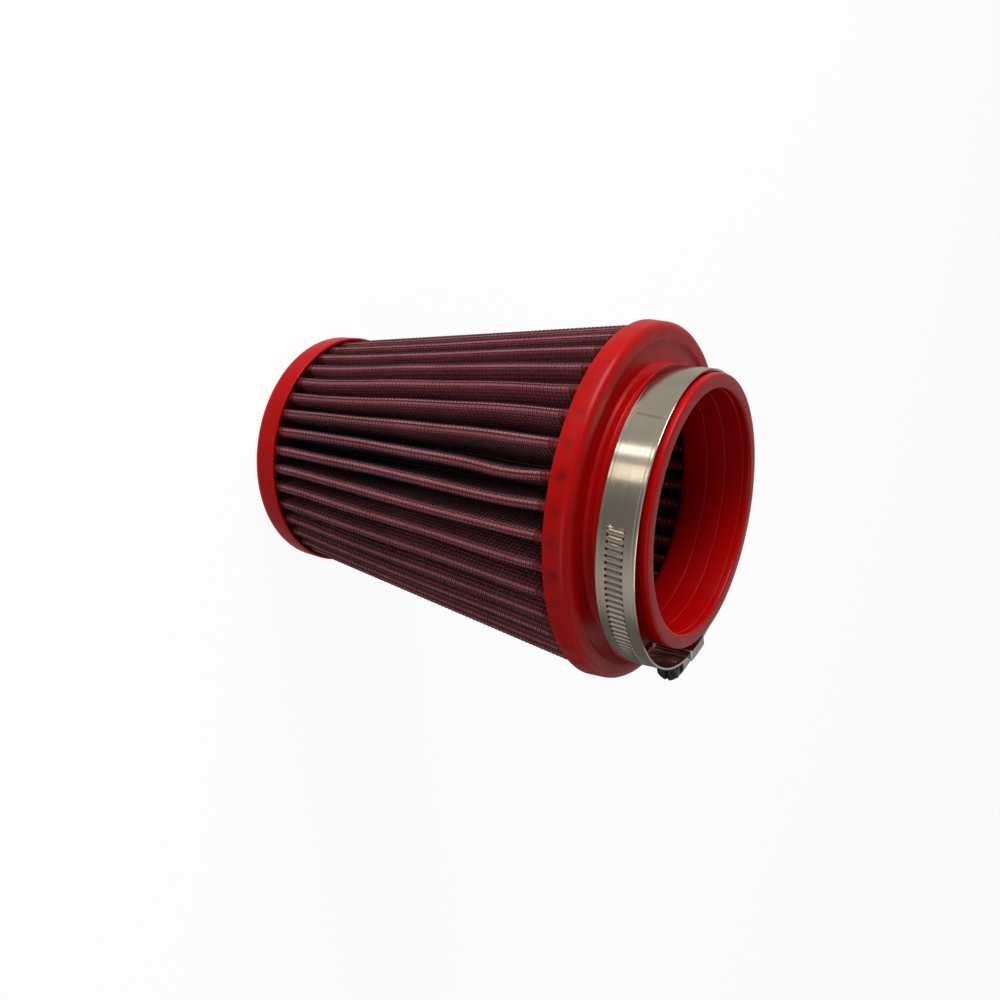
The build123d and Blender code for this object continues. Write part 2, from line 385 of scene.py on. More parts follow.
@dataclass(frozen=True)
class MouldedFinish(Finish):
    """Cast elastic moulding. On the flange the pleat tips show faintly through its outer wall."""

    specular: float = 0.16
    pleat_marks: int = 0
    mark_colour: Colour = linear(92, 6, 10)
    mark_phase: float = 92.4
    mark_height: float = 0.1281
    mark_size: float = 0.0017
    mark_roundness: float = 1.4
    mark_radius: float = 0.0555
    mark_depth: float = 0.0006
    patch_scale: float = 160.0
    patch_edges: tuple[float, float] = (0.38, 0.62)
    patch_strengths: tuple[float, float] = (0.3, 0.8)
    faint_at: float = -0.045
    faint_share: float = 0.25

    def material(self) -> bpy.types.Material:
        """Builds the moulding's material, with the pleat marks where it has them.

        Returns:
            The material.
        """
        material, tree, shader = self.clouded()
        shader.inputs["Specular IOR Level"].default_value = self.specular
        if self.pleat_marks:
            clean = shader.inputs["Base Color"].links[0].from_socket
            marked = tree.blend(self.marks(tree), clean, self.mark_colour)
            tree.link(marked, shader.inputs["Base Color"])
        return material

    def marks(self, tree: Tree) -> Socket:
        """Builds the mask of the pleat marks, a soft patchy spot outside each pleat tip.

        Args:
            tree: The material's tree.

        Returns:
            The mask's socket.
        """
        place = tree.place()
        across, along, height = tree.parts(place)
        phase = tree.math("SUBTRACT", tree.math("ARCTAN2", along, across), radians(self.mark_phase))
        wave = tree.math("COSINE", tree.math("MULTIPLY", phase, float(self.pleat_marks)))
        off_height = tree.math("DIVIDE", tree.math("SUBTRACT", height, self.mark_height), self.mark_size)
        off_height = tree.math("MULTIPLY", off_height, off_height)
        off_tip = tree.math("MULTIPLY", tree.math("SUBTRACT", 1.0, wave), self.mark_roundness)
        off_both = tree.math("ADD", off_height, off_tip)
        spot = tree.math("EXPONENT", tree.math("MULTIPLY", off_both, -1.0))
        radius = tree.radius(across, along)
        wall = tree.ramp(radius, self.mark_radius - self.mark_depth, self.mark_radius)
        patches = tree.noise(place, self.patch_scale)
        strength = tree.ramp(patches, *self.patch_edges, *self.patch_strengths)
        side = tree.ramp(across, self.faint_at, 0.0, self.faint_share, 1.0)
        strength = tree.math("MULTIPLY", strength, side)
        return tree.math("MULTIPLY", tree.math("MULTIPLY", spot, wall), strength)


@dataclass(frozen=True)
class CottonFinish(Finish):
    """Oiled cotton that swells a little through each opening of the wire screen."""

    soaked: Colour = linear(118, 11, 13)
    soaked_roughness: float = 0.5
    bulge: float = 0.00022
    cell_roundness: float = 0.6
    thread_stretch: Point3 = (2.0, 9.0, 1.0)
    thread_edges: tuple[float, float] = (0.25, 0.75)
    thread_shade: float = 0.55
    thread_height: float = 0.35
    cloud_shade: float = 0.8
    sheen: float = 0.15
    sheen_roughness: float = 0.5

    def material(self) -> bpy.types.Material:
        """Builds the cotton: a cell pattern on the fold map, which paints shade along the wires and a
        highlight in each opening's middle, threads, clouds and the soaked ends.

        Returns:
            The material.
        """
        material, tree, shader, grain = self.start()
        fold_map = tree.add("ShaderNodeUVMap", uv_map="FoldMap").outputs[0]
        humps = []
        for part in tree.parts(fold_map)[:2]:
            wave = tree.math("SINE", tree.math("MULTIPLY", part, pi))
            humps.append(tree.math("POWER", tree.math("ABSOLUTE", wave), self.cell_roundness))
        cell = tree.math("MULTIPLY", *humps)
        threads = tree.noise(fold_map, detail=3.0, stretch=self.thread_stretch)
        lit = tree.ramp(threads, *self.thread_edges, self.thread_shade, 1.0)
        # painted shade and highlight: the cell pattern darkens the colour along the wires and lightens it
        # in each opening's middle
        light = tree.math("MULTIPLY", cell, lit)
        clouds = tree.ramp(grain.outputs["Clouds"], 0, 1, self.cloud_shade, 1.0)
        colour = tree.blend(tree.math("MULTIPLY", light, clouds), self.shade, self.colour)
        bleed = tree.add("ShaderNodeGroup", {"Vector": tree.place()}, node_tree=bleed_group())
        mask = bleed.outputs["Mask"]
        tree.link(tree.blend(mask, colour, self.soaked), shader.inputs["Base Color"])
        rough = tree.ramp(mask, 0, 1, self.roughness, self.soaked_roughness)
        tree.link(rough, shader.inputs["Roughness"])
        height = tree.math("ADD", cell, tree.math("MULTIPLY", threads, self.thread_height))
        tree.bump(shader, height, self.bulge)
        shader.inputs["Sheen Weight"].default_value = self.sheen
        shader.inputs["Sheen Roughness"].default_value = self.sheen_roughness
        return material


@dataclass(frozen=True)
class WireFinish(Finish):
    """Dark coated wire, red where the mouldings soaked over it."""

    metallic: float = 0.5
    soaked: Colour = linear(110, 9, 11)

    def material(self) -> bpy.types.Material:
        """Builds the wire's material.

        Returns:
            The material.
        """
        material, tree, shader = self.clouded()
        clean = shader.inputs["Base Color"].links[0].from_socket
        bleed = tree.add("ShaderNodeGroup", {"Vector": tree.place()}, node_tree=bleed_group())
        mask = bleed.outputs["Mask"]
        tree.link(tree.blend(mask, clean, self.soaked), shader.inputs["Base Color"])
        tree.link(tree.ramp(mask, 0, 1, self.metallic, 0.0), shader.inputs["Metallic"])
        return material


@dataclass(frozen=True)
class ValleyShadeAndCrease:
    """Painted shade in the valleys between a strip's pressed threads, and a faint dark crease, in metres
    on its map.
    """

    first: float
    pitch: float
    count: int
    low: float
    high: float
    crease_at: float
    # colour of the painted valley shade and of the crease
    colour: Colour = linear(92, 82, 70)
    darkness: float = 0.7
    valley_edges: tuple[float, float] = (-0.2, 0.8)
    first_fade: float = 0.1
    last_fade: float = 0.2
    side_fade: float = 0.0002
    crease_darkness: float = 0.36
    crease_widths: tuple[float, float] = (0.0001, 0.0007)
    crease_middle: float = 0.0003
    crease_ends: tuple[float, float] = (0.0034, 0.0046)

    def shaded_and_creased(self, tree: Tree, strip_map: Socket, clean: Socket) -> Socket:
        """Paints shade into the valleys between the threads and darkens the crease, over the clean metal.

        Args:
            tree: The material's tree.
            strip_map: The strip map's socket, in metres along and across the strip.
            clean: The clean metal's colour.

        Returns:
            The colour socket of the metal, with its painted valley shade and its crease.
        """
        along, across = tree.parts(strip_map)[:2]
        phase = tree.math("DIVIDE", tree.math("SUBTRACT", along, self.first), self.pitch)
        wave = tree.math("COSINE", tree.math("MULTIPLY", phase, 2 * pi))
        valley = tree.ramp(wave, *self.valley_edges)
        begun = tree.ramp(phase, -self.first_fade, self.first_fade)
        over = tree.ramp(phase, self.count, self.count + self.last_fade, 1.0, 0.0)
        middle, half = (self.low + self.high) / 2, (self.high - self.low) / 2
        off_middle = tree.math("ABSOLUTE", tree.math("SUBTRACT", across, middle))
        beside = tree.ramp(off_middle, half - self.side_fade, half + self.side_fade, 1.0, 0.0)
        inside = tree.math("MULTIPLY", tree.math("MULTIPLY", begun, over), beside)
        # painted shade: the valleys between the pressed threads are darkened towards the colour
        dark = tree.math("MULTIPLY", tree.math("MULTIPLY", valley, inside), self.darkness)
        off_crease = tree.math("ABSOLUTE", tree.math("SUBTRACT", along, self.crease_at))
        crease = tree.ramp(off_crease, *self.crease_widths, self.crease_darkness, 0.0)
        off_middle = tree.math("ABSOLUTE", tree.math("SUBTRACT", across, self.crease_middle))
        crease = tree.math("MULTIPLY", crease, tree.ramp(off_middle, *self.crease_ends, 1.0, 0.0))
        return tree.blend(tree.math("MAXIMUM", dark, crease), clean, self.colour)


@dataclass(frozen=True)
class MetalFinish(Finish):
    """Rolled or turned metal, with fine streaks, and painted valley shade and a crease along its strip
    map where it has one.
    """

    valley_shade_and_crease: ValleyShadeAndCrease | None = None
    streak_depth: float = 0.000004
    streak_stretch: Point3 = (60.0, 3600.0, 1.0)
    streak_edges: tuple[float, float] = (0.3, 0.7)
    streak_smoothest: float = 0.8
    streak_roughest: float = 1.3

    def material(self) -> bpy.types.Material:
        """Builds the metal's material.

        Returns:
            The material.
        """
        material, tree, shader = self.clouded()
        shader.inputs["Metallic"].default_value = 1.0
        if self.valley_shade_and_crease:
            strip_map = tree.add("ShaderNodeUVMap", uv_map="StripMap").outputs[0]
            streak = tree.noise(strip_map, detail=4.0, stretch=self.streak_stretch)
            low, high = self.roughness * self.streak_smoothest, self.roughness * self.streak_roughest
            tree.link(tree.ramp(streak, *self.streak_edges, low, high), shader.inputs["Roughness"])
            clean = shader.inputs["Base Color"].links[0].from_socket
            tree.link(self.valley_shade_and_crease.shaded_and_creased(tree, strip_map, clean), shader.inputs["Base Color"])
            tree.bump(shader, streak, self.streak_depth)
        return material


RED_FLANGE = MouldedFinish(
    "moulded_red_flange", linear(196, 7, 6), linear(181, 5, 5), 0.3, 0.000018, 700.0, pleat_marks=38
)
RED_CAP = MouldedFinish("moulded_red_cap", linear(198, 12, 10), linear(182, 9, 9), 0.32, 0.000018, 700.0)
# its bright colour is a painted highlight in each opening's middle, its dark one painted shade along the
# wires
COTTON = CottonFinish("oiled_cotton", linear(250, 132, 144), linear(92, 12, 18), 0.85)
WIRE = WireFinish("coated_wire", linear(72, 70, 76), linear(50, 48, 54), 0.45, 0.000008, 3000.0)
STRIP = MetalFinish(
    "rolled_strip", linear(208, 196, 177), linear(192, 181, 163), 0.15, 0.000003, 1500.0
)
PRESSED = MetalFinish("pressed_steel", linear(176, 172, 167), linear(150, 146, 141), 0.3, 0.00001, 1200.0)
PLATED = MetalFinish("dark_plated_steel", linear(62, 60, 60), linear(40, 39, 40), 0.34, 0.00001, 1200.0)


# Meshes


def put(
    name: str, points: Sequence, faces: Sequence, finish: Finish, sharp: float = 35.0
) -> bpy.types.Object:
    """Makes a mesh object from points in millimetres.

    Args:
        name: The piece's name.
        points: Corner points in millimetres.
        faces: Lists of point numbers.
        finish: The piece's finish.
        sharp: Edges that bend more than this many degrees are shaded sharp.

    Returns:
        The object, at the origin.
    """
    mesh = bpy.data.meshes.new(name)
    mesh.from_pydata([tuple(value * MM for value in point) for point in points], [], faces)
    shape = bmesh.new()
    shape.from_mesh(mesh)
    bmesh.ops.recalc_face_normals(shape, faces=shape.faces)
    shape.to_mesh(mesh)
    shape.free()
    return put_mesh(name, mesh, finish, sharp)


def put_mesh(
    name: str, mesh: bpy.types.Mesh, finish: Finish, sharp: float = 35.0
) -> bpy.types.Object:
    """Links a mesh as an object with its finish and smooth shading.

    Args:
        name: The piece's name.
        mesh: The piece's mesh, in metres.
        finish: The piece's finish.
        sharp: Edges that bend more than this many degrees are shaded sharp.

    Returns:
        The object, at the origin.
    """
    mesh.name = name
    for polygon in mesh.polygons:
        polygon.use_smooth = True
    mesh.set_sharp_from_angle(angle=radians(sharp))
    mesh.materials.clear()
    mesh.materials.append(finish_material(finish))
    piece = bpy.data.objects.new(name, mesh)
    bpy.context.scene.collection.objects.link(piece)
    return piece


def finish_material(finish: Finish) -> bpy.types.Material:
    """Returns the finish's material, built once."""
    return bpy.data.materials.get(finish.name) or finish.material()


def baked(piece: bpy.types.Object) -> bpy.types.Mesh:
    """Turns an object with its modifiers into a plain mesh and removes the object.

    Args:
        piece: The object.

    Returns:
        The plain mesh.
    """
    graph = bpy.context.evaluated_depsgraph_get()
    mesh = bpy.data.meshes.new_from_object(piece.evaluated_get(graph), depsgraph=graph)
    bpy.data.objects.remove(piece)
    return mesh


def rounded(corners: Sequence[Point3], steps: int = 5) -> list[Point2]:
    """Rounds the corners of an open profile.

    Args:
        corners: (radius from the axis, height, rounding) of each corner.
        steps: Number of runs in each rounding.

    Returns:
        The profile's points.
    """
    longest_share = 0.49
    line: list[Point2] = []
    for number, (x, y, size) in enumerate(corners):
        if size <= 0 or number in (0, len(corners) - 1):
            line.append((x, y))
            continue
        here = Vector((x, y))
        back = Vector(corners[number - 1][:2]) - here
        ahead = Vector(corners[number + 1][:2]) - here
        half = back.angle(ahead) / 2
        reach = min(size / tan(half), longest_share * back.length, longest_share * ahead.length)
        radius = reach * tan(half)
        centre = here + (back.normalized() + ahead.normalized()).normalized() * (radius / sin(half))
        first = here + back.normalized() * reach - centre
        turn = first.angle_signed(here + ahead.normalized() * reach - centre)
        for step in range(steps + 1):
            spoke = Matrix.Rotation(-turn * step / steps, 2) @ first
            line.append(tuple(centre + spoke))
    return line


def turned(
    profile: Sequence[Point2],
    columns: int,
    radius_at: Callable[[float, float, float], float] | None = None,
) -> tuple[list[Point3], list[tuple[int, ...]]]:
    """Turns a profile about Z.

    Args:
        profile: (radius, height) points. Points on the axis become poles.
        columns: Number of columns round the axis.
        radius_at: Optional function of (radius, height, angle) that reshapes each radius.

    Returns:
        Points and faces of the shell. The profile's last point joins its first, unless both are
        on the axis.
    """
    points: list[Point3] = []
    rings: list[list[int]] = []
    for radius, height in profile:
        if radius < TINY:
            rings.append([len(points)])
            points.append((0.0, 0.0, height))
            continue
        ring = []
        for column in range(columns):
            angle = 2 * pi * column / columns
            reach = radius_at(radius, height, angle) if radius_at else radius
            ring.append(len(points))
            points.append((reach * cos(angle), reach * sin(angle), height))
        rings.append(ring)
    pairs = list(zip(rings, rings[1:]))
    if len(rings[0]) > 1 or len(rings[-1]) > 1:
        pairs.append((rings[-1], rings[0]))
    faces = []
    for first, second in pairs:
        for column in range(columns):
            after = (column + 1) % columns
            if len(first) == 1:
                faces.append((first[0], second[after], second[column]))
            elif len(second) == 1:
                faces.append((first[column], first[after], second[0]))
            else:
                faces.append((first[column], first[after], second[after], second[column]))
    return points, faces


# The pleats' course


@dataclass(frozen=True)
class PleatCourse:
    """The course of the folded stack, the same as in the part's source."""

    count: int = 38
    phase: float = 92.4
    tip_low: float = 39.9
    tip_high: float = 55.5
    depth: float = 15.3
    half_stack: float = 0.75
    fold_radius: float = 0.15
    bottom: float = 6.0
    top: float = 126.5
    tip_steps: int = 8
    fold_steps: int = 5
    flank_steps: int = 3

    def outline(self, height: float, side: float) -> list[Point2]:
        """Draws the pleated line at a height.

        Args:
            height: Height above the cap's outer face.
            side: Distance outside the middle of the stack.

        Returns:
            The points of the closed line, its first point repeated at its end.
        """
        share = (height - self.bottom) / (self.top - self.bottom)
        tip_radius = self.tip_low + (self.tip_high - self.tip_low) * share
        middle_fold = self.half_stack + self.fold_radius
        outer = tip_radius - middle_fold - self.half_stack
        inner = tip_radius - self.depth + middle_fold + self.half_stack
        step = 2 * pi / self.count
        run_x = inner * cos(step / 2) - outer
        run_y = inner * sin(step / 2)
        lean = atan2(run_y, run_x) - acos(2 * middle_fold / hypot(run_x, run_y))
        bend = step - 2 * lean
        line: list[Point2] = []
        for pleat in range(self.count):
            ray = radians(self.phase) + pleat * step
            tip = Vector((outer * cos(ray), outer * sin(ray)))
            fold = Vector((inner * cos(ray + step / 2), inner * sin(ray + step / 2)))
            tip_arc, fold_arc = [], []
            for number in range(self.tip_steps + 1):
                angle = ray + lean * (2 * number / self.tip_steps - 1)
                tip_arc.append(tip + (middle_fold + side) * Vector((cos(angle), sin(angle))))
            for number in range(self.fold_steps + 1):
                angle = ray + lean + bend * number / self.fold_steps
                fold_arc.append(fold - (middle_fold - side) * Vector((cos(angle), sin(angle))))
            line += [tuple(point) for point in tip_arc]
            for number in range(1, self.flank_steps):
                line.append(tuple(tip_arc[-1].lerp(fold_arc[0], number / self.flank_steps)))
            line += [tuple(point) for point in fold_arc]
            turn = Matrix.Rotation(step, 2)
            for number in range(1, self.flank_steps):
                line.append(tuple(fold_arc[-1].lerp(turn @ tip_arc[0], number / self.flank_steps)))
        line.append(line[0])
        return line


def developed(line: Sequence[Point2]) -> list[float]:
    """Measures the length along a line.

    Args:
        line: The line's points.

    Returns:
        The length from the first point to each point.
    """
    lengths = [0.0]
    for first, second in zip(line, line[1:]):
        lengths.append(lengths[-1] + hypot(second[0] - first[0], second[1] - first[1]))
    return lengths


@dataclass(frozen=True)
class Sway:
    """How far the pleats wander from their drawn course, which moves cotton and wires alike."""

    amount: float = 0.9
    swing: float = 4.0
    grain: float = 34.0
    stretch: float = 14.0
    seed: float = 4.0
    bottom: float = 9.35
    top: float = 124.65
    held_share: float = 0.25
    free_length: float = 14.0
    kink_turn: float = 262.0
    kink_height: float = 108.0
    kink_amount: float = 1.5
    kink_turn_width: float = 7.0
    kink_height_width: float = 15.0

    def group(self) -> bpy.types.NodeTree:
        """Builds the geometry group that turns each point about the axis by its own small angle.

        Returns:
            The group, built once.
        """
        if "Pleat sway" in bpy.data.node_groups:
            return bpy.data.node_groups["Pleat sway"]
        group, tree = new_group(
            "Pleat sway",
            "GeometryNodeTree",
            {
                "Geometry": ("NodeSocketGeometry", None),
                "Amount": ("NodeSocketFloat", self.amount * MM),
                "Seed": ("NodeSocketFloat", self.seed),
                "Bottom": ("NodeSocketFloat", self.bottom * MM),
                "Top": ("NodeSocketFloat", self.top * MM),
                "Free Length": ("NodeSocketFloat", self.free_length * MM),
                "Kink Turn": ("NodeSocketFloat", radians(self.kink_turn - 360)),
                "Kink Height": ("NodeSocketFloat", self.kink_height * MM),
                "Kink Amount": ("NodeSocketFloat", self.kink_amount * MM),
            },
            {"Geometry": "NodeSocketGeometry"},
        )
        entry = tree.add("NodeGroupInput").outputs
        place = tree.add("GeometryNodeInputPosition").outputs[0]
        across, along, height = tree.parts(place)
        stretch = (self.grain, self.grain, self.stretch)
        stretched = tree.add("ShaderNodeVectorMath", {0: place, 1: stretch}, operation="MULTIPLY")
        noise = tree.add(
            "ShaderNodeTexNoise",
            {"Vector": stretched.outputs[0], "W": entry["Seed"], "Scale": 1.0, "Detail": 1.0},
            noise_dimensions="4D",
        ).outputs[0]
        wander = tree.math("MULTIPLY", tree.math("SUBTRACT", noise, 0.5), self.swing)
        from_top = tree.math("SUBTRACT", entry["Top"], height)
        from_bottom = tree.math("SUBTRACT", height, entry["Bottom"])
        nearest = tree.math("MINIMUM", from_top, from_bottom)
        free = tree.math("DIVIDE", nearest, entry["Free Length"], clamp=True)
        free = tree.math("ADD", tree.math("MULTIPLY", free, 1 - self.held_share), self.held_share)
        shift = tree.math("MULTIPLY", tree.math("MULTIPLY", wander, free), entry["Amount"])
        turn = tree.math("ARCTAN2", along, across)
        spreads = []
        for value, middle, width in (
            (turn, entry["Kink Turn"], radians(self.kink_turn_width)),
            (height, entry["Kink Height"], self.kink_height_width * MM),
        ):
            off = tree.math("DIVIDE", tree.math("SUBTRACT", value, middle), width)
            spreads.append(tree.math("MULTIPLY", off, off))
        spread = tree.math("ADD", *spreads)
        kink = tree.math("EXPONENT", tree.math("MULTIPLY", spread, -1.0))
        kink = tree.math("MULTIPLY", kink, entry["Kink Amount"])
        angle = tree.math("DIVIDE", tree.math("ADD", shift, kink), tree.radius(across, along))
        inputs = {"Vector": place, "Angle": angle}
        swayed = tree.add("ShaderNodeVectorRotate", inputs, rotation_type="Z_AXIS").outputs[0]
        inputs = {"Geometry": entry["Geometry"], "Position": swayed}
        moved = tree.add("GeometryNodeSetPosition", inputs)
        tree.add("NodeGroupOutput", {"Geometry": moved.outputs[0]})
        return group


def run_tree(
    name: str, mesh: bpy.types.Mesh, group: bpy.types.NodeTree, values: dict[str, object]
) -> bpy.types.Mesh:
    """Runs a geometry tree on a mesh and returns the plain result.

    Args:
        name: The working object's name.
        mesh: What goes into the tree.
        group: The tree.
        values: Input names to values.

    Returns:
        The plain mesh.
    """
    holder = bpy.data.objects.new(name, mesh)
    bpy.context.scene.collection.objects.link(holder)
    modifier = holder.modifiers.new("shape", "NODES")
    modifier.node_group = group
    sockets = [item for item in group.interface.items_tree if item.in_out == "INPUT"]
    labels = {socket.name: socket.identifier for socket in sockets}
    for label, value in values.items():
        modifier[labels[label]] = value
    return baked(holder)


# The pack


@dataclass
class PleatedPack:
    """The folded pack: oiled cotton between two screens of woven wire."""

    course: PleatCourse = PleatCourse()
    ring_course: PleatCourse = PleatCourse(tip_steps=5, fold_steps=3, flank_steps=1)
    sway: Sway = Sway()
    wire_radius: float = 0.135
    wire_sides: int = 3
    wire_pitch: float = 1.5
    wires_per_pleat: int = 21
    long_wire_runs: int = 18
    screen_side: float = 0.66
    weave_offset: float = 0.06
    cotton_thickness: float = 1.0
    cotton_rows: int = 41
    cotton_sharp: float = 80.0
    merge_distance: float = 0.002

    def build(self) -> list[Piece]:
        """Builds the cotton and both screens.

        Returns:
            Each piece with its body, its material slot and the nodes that it stands for.
        """
        pieces = [(self.cotton(), Body.FILTER, Slot.COTTON, ("cotton_gauze",))]
        for label, side, node in (
            ("outer", self.screen_side, "outer_wire_screen"),
            ("inner", -self.screen_side, "inner_wire_screen"),
        ):
            rings = self.wires(f"{label}_screen_ring_wires", self.ring_lines(side))
            longs = self.wires(f"{label}_screen_long_wires", self.long_lines(side))
            pieces.append((rings, Body.FILTER, Slot.WIRE, (node,)))
            pieces.append((longs, Body.FILTER, Slot.WIRE, (node,)))
        return pieces

    def cotton(self) -> bpy.types.Object:
        """Lofts the cotton between its lowest and highest outline, then gives it its thickness.

        Returns:
            The cotton.
        """
        course = self.course
        low = course.outline(course.bottom, 0.0)
        high = course.outline(course.top, 0.0)
        lengths = developed(low)
        scale = course.count * self.wires_per_pleat / lengths[-1]
        mesh = bpy.data.meshes.new("cotton_outlines")
        points = [(x * MM, y * MM, course.bottom * MM) for x, y in low]
        points += [(x * MM, y * MM, course.top * MM) for x, y in high]
        mesh.from_pydata(points, [], [])
        along = mesh.attributes.new("along", "FLOAT", "POINT")
        along.data.foreach_set("value", [value * scale for value in lengths] * 2)
        flat = run_tree(
            "cotton_loft",
            mesh,
            self.loft_group(),
            {
                "Columns": len(low),
                "Rows": self.cotton_rows,
                "Cells High": (course.top - course.bottom) / self.wire_pitch,
                "Finish": finish_material(COTTON),
            },
        )
        piece = put_mesh("cotton_sheet", flat, COTTON, self.cotton_sharp)
        thick = piece.modifiers.new("thickness", "SOLIDIFY")
        thick.thickness = self.cotton_thickness * MM
        thick.offset = 0.0
        thick.use_even_offset = False
        dressed = put_mesh("pleated_cotton", baked(piece), COTTON, self.cotton_sharp)
        longest, shortest = developed(high)[-1], lengths[-1]
        slant = hypot(course.top - course.bottom, course.tip_high - course.tip_low)
        flat = ((longest + shortest) / 2 * MM, slant * MM)
        log.info("cotton cut flat: %.3f m by %.4f m", *flat)
        return dressed

    def loft_group(self) -> bpy.types.NodeTree:
        """Builds the tree that lofts a grid between two outlines and lets it sway.

        Returns:
            The geometry tree.
        """
        group, tree = new_group(
            "Pleated loft",
            "GeometryNodeTree",
            {
                "Geometry": ("NodeSocketGeometry", None),
                "Columns": ("NodeSocketInt", 700),
                "Rows": ("NodeSocketInt", 40),
                "Cells High": ("NodeSocketFloat", 80.0),
                "Finish": ("NodeSocketMaterial", None),
            },
            {"Geometry": "NodeSocketGeometry"},
        )
        entry = tree.add("NodeGroupInput").outputs
        outlines, columns = entry["Geometry"], entry["Columns"]
        grid = tree.add(
            "GeometryNodeMeshGrid",
            {"Size X": 1.0, "Size Y": 1.0, "Vertices X": columns, "Vertices Y": entry["Rows"]},
        )
        where = tree.add("GeometryNodeInputPosition").outputs[0]
        parts = tree.parts(where)
        share = tree.math("ADD", parts[0], 0.5)
        row = tree.math("ADD", parts[1], 0.5)
        last = tree.math("SUBTRACT", columns, 1.0)
        column = tree.math("ROUND", tree.math("MULTIPLY", share, last))
        named = tree.add("GeometryNodeInputNamedAttribute", {"Name": "along"}, data_type="FLOAT")
        low, high, along = (
            tree.add(
                "GeometryNodeSampleIndex",
                {"Geometry": outlines, "Value": value, "Index": index},
                data_type=kind,
            ).outputs[0]
            for value, index, kind in (
                (where, column, "FLOAT_VECTOR"),
                (where, tree.math("ADD", column, columns), "FLOAT_VECTOR"),
                (named.outputs[0], column, "FLOAT"),
            )
        )
        between = tree.add("ShaderNodeMix", {0: row, 4: low, 5: high}, data_type="VECTOR")
        cells = tree.math("MULTIPLY", row, entry["Cells High"])
        fold_map = tree.add("ShaderNodeCombineXYZ", {0: along, 1: cells}).outputs[0]
        stored = tree.add(
            "GeometryNodeStoreNamedAttribute",
            {"Geometry": grid.outputs["Mesh"], "Name": "FoldMap", "Value": fold_map},
            data_type="FLOAT2",
            domain="CORNER",
        )
        inputs = {"Geometry": stored.outputs[0], "Position": between.outputs[1]}
        placed = tree.add("GeometryNodeSetPosition", inputs)
        inputs = {"Geometry": placed.outputs[0]}
        swayed = tree.add("GeometryNodeGroup", inputs, node_tree=self.sway.group())
        inputs = {"Geometry": swayed.outputs[0], "Distance": self.merge_distance * MM}
        merged = tree.add("GeometryNodeMergeByDistance", inputs)
        tree.end(merged.outputs[0], entry["Finish"])
        return group

    def heights(self) -> list[float]:
        """Spaces the ring wires from the lowest outline to the highest.

        Returns:
            Their heights.
        """
        rise = self.course.top - self.course.bottom
        number = int(rise / self.wire_pitch)
        return [self.course.bottom + self.wire_pitch * (step + 0.5) for step in range(number)]

    def ring_lines(self, side: float) -> list[list[Point3]]:
        """Draws the ring wires.

        Args:
            side: The screen's distance outside the middle of the stack.

        Returns:
            The closed course of each wire.
        """
        outward = self.weave_offset if side > 0 else -self.weave_offset
        lines = []
        for height in self.heights():
            line = self.ring_course.outline(height, side + outward)
            lines.append([(x, y, height) for x, y in line])
        return lines

    def long_lines(self, side: float) -> list[list[Point3]]:
        """Draws the wires that run from the cap to the flange.

        Args:
            side: The screen's distance outside the middle of the stack.

        Returns:
            The course of each wire.
        """
        course = self.course
        outward = self.weave_offset if side > 0 else -self.weave_offset
        low = course.outline(course.bottom, side - outward)
        high = course.outline(course.top, side - outward)
        lengths = developed(low)
        total = course.count * self.wires_per_pleat
        runs = self.long_wire_runs
        levels = [course.bottom + (course.top - course.bottom) * run / runs for run in range(runs + 1)]
        lines = []
        spot = 0
        for number in range(total):
            target = lengths[-1] * (number + 0.5) / total
            while lengths[spot + 1] < target:
                spot += 1
            share = (target - lengths[spot]) / (lengths[spot + 1] - lengths[spot])
            foot = Vector(low[spot]).lerp(Vector(low[spot + 1]), share)
            head = Vector(high[spot]).lerp(Vector(high[spot + 1]), share)
            lines.append([(*foot.lerp(head, run / runs), level) for run, level in enumerate(levels)])
        return lines

    def wires(self, name: str, lines: Sequence) -> bpy.types.Object:
        """Sweeps a thin round section along each line with the wire tree.

        Args:
            name: The piece's name.
            lines: The wires' courses. A course that ends where it starts is a closed ring.

        Returns:
            The wires as one piece.
        """
        points: list[Point3] = []
        edges: list[tuple[int, int]] = []
        for line in lines:
            start = len(points)
            closed = line[0] == line[-1]
            own = line[:-1] if closed else line
            points += [tuple(value * MM for value in point) for point in own]
            edges += [(start + step, start + step + 1) for step in range(len(own) - 1)]
            if closed:
                edges.append((start + len(own) - 1, start))
        mesh = bpy.data.meshes.new(f"{name}_course")
        mesh.from_pydata(points, edges, [])
        plain = run_tree(
            f"{name}_sweep",
            mesh,
            self.wire_group(),
            {
                "Wire Radius": self.wire_radius * MM,
                "Sides": self.wire_sides,
                "Finish": finish_material(WIRE),
            },
        )
        return put_mesh(name, plain, WIRE, sharp=180.0)

    def wire_group(self) -> bpy.types.NodeTree:
        """Builds the tree that makes wires of drawn courses.

        Returns:
            The geometry tree, built once.
        """
        if "Wires" in bpy.data.node_groups:
            return bpy.data.node_groups["Wires"]
        group, tree = new_group(
            "Wires",
            "GeometryNodeTree",
            {
                "Geometry": ("NodeSocketGeometry", None),
                "Wire Radius": ("NodeSocketFloat", 0.00014),
                "Sides": ("NodeSocketInt", 3),
                "Finish": ("NodeSocketMaterial", None),
            },
            {"Geometry": "NodeSocketGeometry"},
        )
        entry = tree.add("NodeGroupInput").outputs
        inputs = {"Geometry": entry["Geometry"]}
        swayed = tree.add("GeometryNodeGroup", inputs, node_tree=self.sway.group())
        curve = tree.add("GeometryNodeMeshToCurve", {0: swayed.outputs[0]})
        inputs = {"Resolution": entry["Sides"], "Radius": entry["Wire Radius"]}
        section = tree.add("GeometryNodeCurvePrimitiveCircle", inputs)
        inputs = {"Curve": curve.outputs[0], "Profile Curve": section.outputs[0]}
        swept = tree.add("GeometryNodeCurveToMesh", inputs)
        tree.end(swept.outputs[0], entry["Finish"])
        return group


# The mouldings


